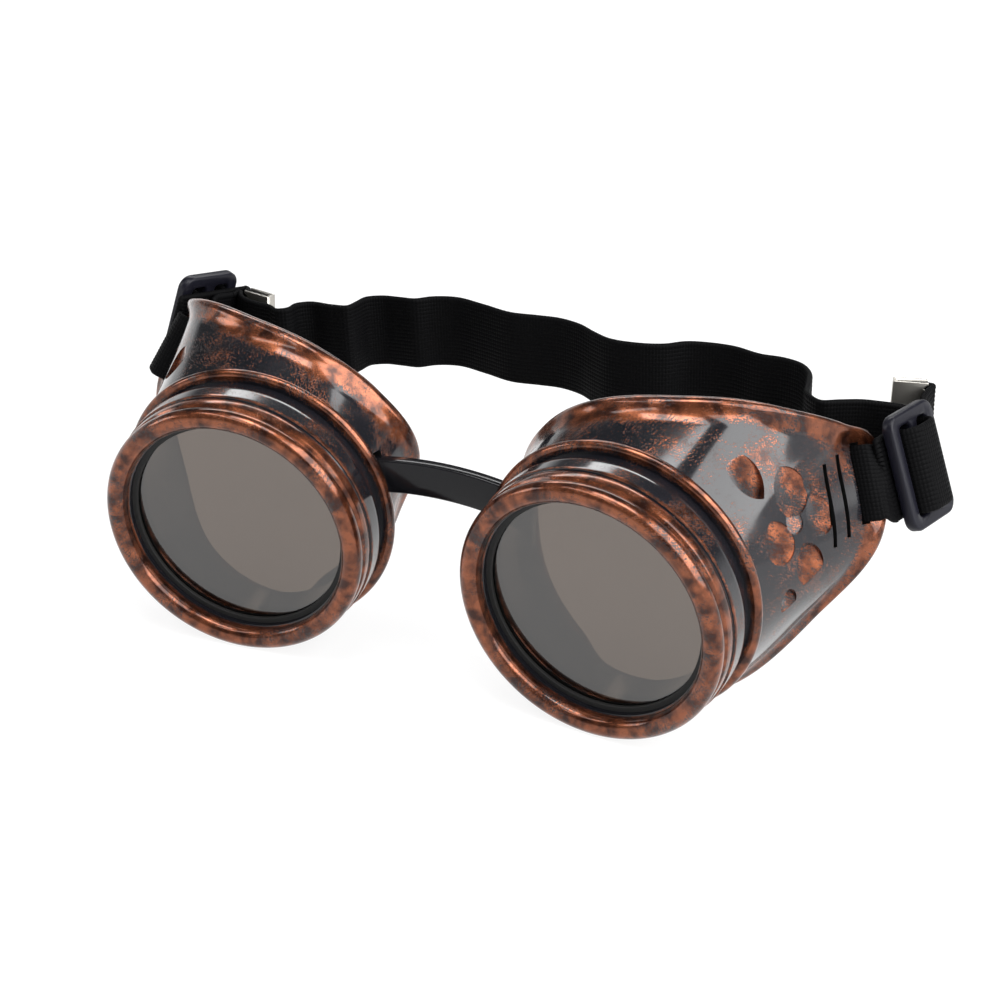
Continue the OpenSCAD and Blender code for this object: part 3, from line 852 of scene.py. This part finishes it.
def slab(outline, thickness, place):
    """A flat outline of (x, y) given a thickness along its own Z."""
    count = len(outline)
    verts = [place(Vector((x, y, z))) for z in (-thickness / 2, thickness / 2) for x, y in outline]
    faces = [tuple(reversed(range(count))), tuple(range(count, 2 * count))]
    for j in range(count):
        n = (j + 1) % count
        faces.append((j, n, count + n, count + j))
    return verts, faces


def rounded_outline(x_from, x_to, half_h, r, steps=7):
    """A rectangle with round corners."""
    points = []
    for cx, cy, start in ((x_to - r, half_h - r, 0), (x_from + r, half_h - r, 90),
                          (x_from + r, r - half_h, 180), (x_to - r, r - half_h, 270)):
        points += arc((cx, cy), r, start, start + 90, steps)
    return points


def slider(name, k, side, material):
    """Three bars and two windows; its length runs along the webbing."""
    def place(p):
        return SLIDER_AT[k] + SLIDER_MATRIX[k] @ Vector((p[2], p[0], p[1]))

    body = slab(rounded_outline(0, SLIDER_LEN, SLIDER_H / 2, SLIDER_BAR), SLIDER_T, place)
    piece = closed_form(body, side, material)
    windows = []
    for x in (SLIDER_BAR, 2 * SLIDER_BAR + WINDOW_L):
        outline = rounded_outline(x, x + WINDOW_L, WINDOW_H / 2, WINDOW_CORNER, 4)
        windows.append(closed_form(slab(outline, SLIDER_T * 3, place), side, material))
    cut(piece, windows)
    bevelled(piece, 0.65, 4)
    piece.name = name
    return piece


def clip(name, k, side, material):
    """A folded metal sheet on the webbing's cut end, with a toothed edge."""
    turn = Matrix.Rotation(math.radians(CLIP_TURN[k]), 3, "Z")

    def place(p):
        return CLIP_AT[k] + turn @ Vector(p)

    depth = CLIP_IN + 2 * CLIP_T
    outside = closed_form(box_form((CLIP_LEN, depth, CLIP_H), place), side, material)
    fold = Vector((CLIP_T, 0, 0))
    inside = box_form((CLIP_LEN, CLIP_IN, CLIP_H + 1), lambda p: place(p + fold))
    tools = [closed_form(inside, side, material)]
    for j in range(CLIP_TEETH):
        z = (j + 0.5 - CLIP_TEETH / 2) * CLIP_H / CLIP_TEETH
        notch = [(CLIP_LEN / 2 - 1, z), (CLIP_LEN / 2 + 1, z - CLIP_NOTCH),
                 (CLIP_LEN / 2 + 1, z + CLIP_NOTCH)]
        form = slab(notch, depth + 1, lambda p: place(Vector((p[0], -p[2], p[1]))))
        tools.append(closed_form(form, side, material))
    cut(outside, tools)
    bevelled(outside, 0.16, 2)
    outside.name = name
    return outside


def bridge(material):
    """A strip arched over the nose, with a button head inside each cup."""
    arch_r = (WALL_X ** 2 + BRIDGE_RISE ** 2) / (2 * BRIDGE_RISE)
    head_x = WALL_X + HEAD_PAST_WALL
    half = math.degrees(math.asin(head_x / arch_r))
    centre = (0, BRIDGE_Z - arch_r)
    outline = arc(centre, arch_r + BRIDGE_H / 2, 90 - half, 90 + half, 48)
    outline += arc(centre, arch_r - BRIDGE_H / 2, 90 + half, 90 - half, 48)

    def place(p):
        return Vector((p[0], BRIDGE_Y - p[2], p[1]))

    strip = bevelled(closed_form(slab(outline, BRIDGE_T, place), 1, material), 0.45)
    heads = []
    for side in (-1, 1):
        at = Vector((side * head_x, BRIDGE_Y, BRIDGE_Z - HEAD_DROP))
        head = box_form((HEAD_T, BRIDGE_T, HEAD_H), lambda p, at=at: at + p)
        heads.append(bevelled(closed_form(head, 1, material), 0.4))
    return join([strip] + heads, "nose_bridge_strip")


# Finishes


def dial(made, settings):
    """Sets the sockets of a node by name."""
    for key, value in settings.items():
        made.inputs[key].default_value = value


def wired_math(tree, operation, a, b, clamp=False):
    made = node(tree, "ShaderNodeMath", operation=operation)
    made.use_clamp = clamp
    for socket, value in zip(made.inputs, (a, b)):
        if isinstance(value, (int, float)):
            socket.default_value = value
        else:
            tree.links.new(value, socket)
    return made.outputs[0]


def noise(tree, vector, scale, detail, roughness, finer=(1, 1, 1), turn=0):
    """A noise pattern, turned, and as many times finer along each axis as finer says."""
    mapping = node(tree, "ShaderNodeMapping", vector_type="TEXTURE")
    dial(mapping, {"Scale": [1 / s for s in finer], "Rotation": (0, 0, turn)})
    tree.links.new(vector, mapping.inputs["Vector"])
    made = node(tree, "ShaderNodeTexNoise")
    dial(made, {"Scale": scale, "Detail": detail, "Roughness": roughness})
    tree.links.new(mapping.outputs["Vector"], made.inputs["Vector"])
    return made.outputs["Fac"]


PATCHES = {"scale": 0.09, "detail": 3, "roughness": 0.5}
STROKES = {"scale": 1.7, "detail": 3, "roughness": 0.6, "finer": (1.8, 0.4, 1), "turn": 0.5}
PITS = {"scale": 3.4, "detail": 2, "roughness": 0.5}
SPECKLES = {"scale": 0.3, "detail": 4, "roughness": 0.5}
WEIGHTS = ((PATCHES, 1.8), (STROKES, 1.3), (PITS, 1.4))


def rub_group():
    """Where the copper is rubbed on: cloudy patches broken up by brush strokes and pits."""
    tree, start, end = new_group(
        "Rubbed copper", "ShaderNodeTree",
        [("Vector", "Vector"), ("Cover", "Float"), ("Edge", "Float")],
        [("Mask", "Float"), ("Tone", "Float")])
    where = start.outputs["Vector"]
    speckles = noise(tree, where, **SPECKLES)
    broken = 0.5
    for layer, weight in WEIGHTS:
        centred = wired_math(tree, "SUBTRACT", noise(tree, where, **layer), 0.5)
        part = wired_math(tree, "MULTIPLY", centred, weight)
        broken = wired_math(tree, "ADD", broken, part)
    low = wired_math(tree, "SUBTRACT", 1, start.outputs["Cover"])
    raised = wired_math(tree, "SUBTRACT", broken, low)
    mask = wired_math(tree, "DIVIDE", raised, start.outputs["Edge"], clamp=True)
    tree.links.new(mask, end.inputs["Mask"])
    tree.links.new(speckles, end.inputs["Tone"])
    return tree


def principled(name):
    material = bpy.data.materials.new(name)
    material.use_nodes = True
    return material, material.node_tree, material.node_tree.nodes["Principled BSDF"]


def colour_mix(tree, fac, a, b):
    made = node(tree, "ShaderNodeMix", data_type="RGBA")
    for socket, value in zip((made.inputs["Factor"], made.inputs[6], made.inputs[7]), (fac, a, b)):
        if isinstance(value, tuple):
            socket.default_value = (*value, 1)
        else:
            tree.links.new(value, socket)
    return made.outputs[2]


def bump(tree, shader, height, distance, strength):
    made = node(tree, "ShaderNodeBump")
    dial(made, {"Distance": distance, "Strength": strength})
    tree.links.new(height, made.inputs["Height"])
    tree.links.new(made.outputs["Normal"], shader.inputs["Normal"])


PLASTIC = (0.006, 0.006, 0.008)
COPPER_DARK = (0.038, 0.012, 0.007)
COPPER_LIGHT = (0.23, 0.072, 0.032)
COPPER_METAL = 0.85
PLASTIC_ROUGH = 0.14
COPPER_ROUGHER = 0.12


def copper_finish(name, group, edge):
    """Copper paint brushed over glossy black plastic, as thickly as the cover attribute says."""
    material, tree, shader = principled(name)
    place = node(tree, "ShaderNodeUVMap", uv_map="UVMap")
    rub = node(tree, "ShaderNodeGroup", node_tree=group)
    rub.inputs["Edge"].default_value = edge
    cover = node(tree, "ShaderNodeAttribute", attribute_name="cover")
    tree.links.new(cover.outputs["Fac"], rub.inputs["Cover"])
    tree.links.new(place.outputs["UV"], rub.inputs["Vector"])
    tone = node(tree, "ShaderNodeMapRange")
    dial(tone, {"From Min": 0.38, "From Max": 0.62})
    tree.links.new(rub.outputs["Tone"], tone.inputs["Value"])
    mask = rub.outputs["Mask"]
    paint = colour_mix(tree, tone.outputs["Result"], COPPER_DARK, COPPER_LIGHT)
    base = colour_mix(tree, mask, PLASTIC, paint)
    metal = wired_math(tree, "MULTIPLY", mask, COPPER_METAL)
    rougher = wired_math(tree, "MULTIPLY", mask, COPPER_ROUGHER)
    rough = wired_math(tree, "ADD", rougher, PLASTIC_ROUGH)
    tree.links.new(base, shader.inputs["Base Color"])
    tree.links.new(metal, shader.inputs["Metallic"])
    tree.links.new(rough, shader.inputs["Roughness"])
    bump(tree, shader, mask, distance=0.0001, strength=0.4)
    dial(shader, {"Specular IOR Level": 0.3, "Coat Weight": 0.42, "Coat Roughness": 0.08})
    return material


def plain_finish(name, colour, rough, metallic=0.0, shine=0.5):
    material, _, shader = principled(name)
    dial(shader, {"Base Color": (*colour, 1), "Roughness": rough, "Metallic": metallic,
                  "Specular IOR Level": shine})
    return material


def lens_finish():
    """Dark see-through brown; the high index makes it mirror more than plain glass does."""
    material, _, shader = principled("smoked lens")
    dial(shader, {"Base Color": (0.088, 0.064, 0.048, 1), "Roughness": 0.02,
                  "Transmission Weight": 1, "IOR": 1.85})
    return material


WEFT_TURNS = 9000


def webbing_finish():
    """Black elastic webbing: the weft shows as fine lines across the ribs."""
    material, tree, shader = principled("black webbing")
    along = node(tree, "ShaderNodeAttribute", attribute_name="along")
    turns = wired_math(tree, "MULTIPLY", along.outputs["Fac"], WEFT_TURNS)
    bump(tree, shader, wired_math(tree, "SINE", turns, 0), distance=0.00006, strength=0.5)
    dial(shader, {"Base Color": (0.0022, 0.0022, 0.0025, 1), "Roughness": 0.6,
                  "Specular IOR Level": 0.04})
    return material


copper = copper_finish("rubbed copper", rub_group(), edge=0.16)
gap_black = plain_finish("dark slot", (0.004, 0.004, 0.004), 0.6, shine=0.2)
bridge_black = plain_finish("bridge black", (0.004, 0.004, 0.005), 0.16, shine=0.25)
slider_black = plain_finish("slider blue black", (0.006, 0.006, 0.010), 0.34, shine=0.18)
washer_black = plain_finish("washer rubber", (0.01, 0.01, 0.01), 0.6, shine=0.3)
nickel = plain_finish("nickel clip", (0.52, 0.50, 0.46), 0.38, metallic=1.0)
smoked = lens_finish()
web_black = webbing_finish()


# The object


def turned_piece(name, profile, side, material, steps=180):
    verts, faces, uvs, covers = lathe(profile, steps)
    return weld(new_piece(name, verts, faces, side, uvs, material, covers))


def eyecup(side_name, side):
    verts, faces, uvs, covers = cup_shell()
    shell = weld(new_piece("shell", verts, faces, side, uvs, copper, covers))
    neck = turned_piece("neck", neck_profile(), side, copper)
    cut(shell, panel_cutters(side, copper, gap_black))
    piece = join([shell, neck], side_name + "_cup_shell")
    piece.data.shade_smooth()
    piece.data.set_sharp_from_angle(angle=SHARP_ANGLE)
    return piece


def dress_side(side_name, side, k, tree):
    cup = side_name + "_cup"
    unit = side_name + "_lens_unit"
    shell = eyecup(side_name, side)
    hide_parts(side_name + "_eyecup")
    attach(shell, cup)

    ring = turned_piece(side_name + "_screw_ring", ring_profile(), side, copper, 240)
    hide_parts(side_name + "_lens_ring")
    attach(ring, side_name + "_ring")

    glass = turned_piece(side_name + "_round_lens", with_cover([
        (0.001, LENS_Y), (LENS_D / 2 - 0.2, LENS_Y), (LENS_D / 2, LENS_Y + 0.2),
        (LENS_D / 2, LENS_Y + LENS_T - 0.2), (LENS_D / 2 - 0.2, LENS_Y + LENS_T),
        (0.001, LENS_Y + LENS_T)], BARE), side, smoked)
    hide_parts(side_name + "_lens")
    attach(glass, unit)

    for part, y in (("front", FRONT_WASHER_Y), ("rear", REAR_WASHER_Y)):
        outline = tube_profile(WASHER_OUT_R, WASHER_OUT_R - WASHER_W, y, y + WASHER_T)
        washer = turned_piece(f"{side_name}_{part}_soft_washer", outline, side, washer_black)
        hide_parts(f"{side_name}_{part}_washer")
        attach(washer, unit)

    frame_piece = slider(side_name + "_strap_slider", k, side, slider_black)
    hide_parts(side_name + "_slider")
    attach(frame_piece, side_name + "_slider")

    hump = webbing(side_name + "_webbing_hump", wrap_line(k), tree, web_black, side, HUMP_STEPS)
    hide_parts(side_name + "_strap_wrap")
    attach(hump, side_name + "_slider")

    loop = webbing(side_name + "_webbing_loop", loop_line(k), tree, web_black, side)
    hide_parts(side_name + "_strap_loop")
    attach(loop, cup)

    end = clip(side_name + "_end_clip", k, side, nickel)
    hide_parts(side_name + "_strap_clip")
    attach(end, cup)


tree = webbing_tree()
for k, (side_name, side) in enumerate(SIDES.items()):
    dress_side(side_name, side, k, tree)

strap = webbing("head_webbing", head_line(), tree, web_black)
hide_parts("head_strap")
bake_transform(strap)

nose = bridge(bridge_black)
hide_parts("nose_bridge")
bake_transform(nose)


# Floor, light and camera


def seen_rays(tree):
    """1 for what the camera sees, straight, in gloss or through glass, else 0."""
    path = node(tree, "ShaderNodeLightPath")
    seen = wired_math(tree, "MAXIMUM", path.outputs["Is Camera Ray"], path.outputs["Is Glossy Ray"])
    return wired_math(tree, "MAXIMUM", seen, path.outputs["Is Transmission Ray"])


FLOOR_HALF = 4
GLOW_SHARE = 0.84


def floor_finish():
    """Pale floor, partly its own white, so that the shadow on it stays light."""
    material, tree, shader = principled("pale floor")
    dial(shader, {"Base Color": (0.93, 0.93, 0.93, 1), "Roughness": 0.9})
    glow = node(tree, "ShaderNodeEmission")
    dial(glow, {"Strength": 1.04})
    mixed = node(tree, "ShaderNodeMixShader")
    tree.links.new(wired_math(tree, "MULTIPLY", seen_rays(tree), GLOW_SHARE), mixed.inputs["Fac"])
    tree.links.new(shader.outputs["BSDF"], mixed.inputs[1])
    tree.links.new(glow.outputs["Emission"], mixed.inputs[2])
    tree.links.new(mixed.outputs["Shader"], tree.nodes["Material Output"].inputs["Surface"])
    return material


def floor():
    mesh = bpy.data.meshes.new("floor")
    s = FLOOR_HALF
    mesh.from_pydata([(-s, -s, 0), (s, -s, 0), (s, s, 0), (-s, s, 0)], [], [(0, 1, 2, 3)])
    piece = bpy.data.objects.new("floor", mesh)
    bpy.context.scene.collection.objects.link(piece)
    mesh.materials.append(floor_finish())


OBJECT_MIDDLE = Vector((0, 0.03, 0.035))


def area_light(name, at, size, power, size_y=None):
    """A soft light that faces the object's middle."""
    data = bpy.data.lights.new(name, "AREA")
    data.energy = power
    data.size = size
    if size_y:
        data.shape = "RECTANGLE"
        data.size_y = size_y
    light = bpy.data.objects.new(name, data)
    light.location = at
    light.rotation_euler = (OBJECT_MIDDLE - Vector(at)).to_track_quat("-Z", "Y").to_euler()
    bpy.context.scene.collection.objects.link(light)


def world():
    """Lights the object evenly; what it mirrors is white low down and darker overhead."""
    background = bpy.data.worlds.new("studio")
    background.use_nodes = True
    tree = background.node_tree
    shown = node(tree, "ShaderNodeBackground")
    dial(shown, {"Color": (1, 1, 1, 1)})
    where = node(tree, "ShaderNodeTexCoord")
    split = node(tree, "ShaderNodeSeparateXYZ")
    ceiling = node(tree, "ShaderNodeMapRange")
    dial(ceiling, {"From Min": 0.1, "From Max": 0.26, "To Min": 1, "To Max": 0.1})
    tree.links.new(where.outputs["Generated"], split.inputs["Vector"])
    tree.links.new(split.outputs["Z"], ceiling.inputs["Value"])
    tree.links.new(ceiling.outputs["Result"], shown.inputs["Strength"])
    light = tree.nodes["Background"]
    dial(light, {"Color": (1, 1, 1, 1), "Strength": 0.45})
    mixed = node(tree, "ShaderNodeMixShader")
    tree.links.new(seen_rays(tree), mixed.inputs["Fac"])
    tree.links.new(light.outputs[0], mixed.inputs[1])
    tree.links.new(shown.outputs[0], mixed.inputs[2])
    tree.links.new(mixed.outputs[0], tree.nodes["World Output"].inputs["Surface"])
    bpy.context.scene.world = background


CAMERA_AT = Vector((0.17533, -0.35159, 0.22234))
AZIMUTH = math.radians(23.7425)
ELEVATION = math.radians(24.3322)
ROLL = math.radians(1.7386)
SENSOR = 36
FOCAL_PIXELS = 2160.44
PICTURE_PIXELS = 1001


def camera():
    """The photograph's own view."""
    ahead = Vector((
        -math.sin(AZIMUTH) * math.cos(ELEVATION), math.cos(AZIMUTH) * math.cos(ELEVATION),
        -math.sin(ELEVATION)))
    level = ahead.cross(Vector((0, 0, 1))).normalized()
    above = level.cross(ahead)
    right = math.cos(ROLL) * level + math.sin(ROLL) * above
    up = math.cos(ROLL) * above - math.sin(ROLL) * level
    data = bpy.data.cameras.new("camera")
    data.lens = SENSOR * FOCAL_PIXELS / PICTURE_PIXELS
    data.sensor_width = SENSOR
    data.clip_start = 0.01
    viewer = bpy.data.objects.new("camera", data)
    turn = Matrix((right, up, -ahead)).transposed().to_4x4()
    viewer.matrix_world = Matrix.Translation(CAMERA_AT) @ turn
    bpy.context.scene.collection.objects.link(viewer)
    bpy.context.scene.camera = viewer


floor()
world()
area_light("back softbox", (-0.3, 0.75, 0.68), 0.9, 3.5, 0.18)
area_light("top softbox", (0.0, -0.22, 1.05), 0.6, 7, 0.36)
area_light("right softbox", (0.94, -0.12, 0.74), 1.4, 31, 1.1)
area_light("left softbox", (-0.95, -0.3, 0.45), 0.3, 1.5)
area_light("front strip", (-0.4, -0.5, 0.95), 0.8, 2, 0.1)
camera()
bpy.context.scene.view_settings.view_transform = "Standard"
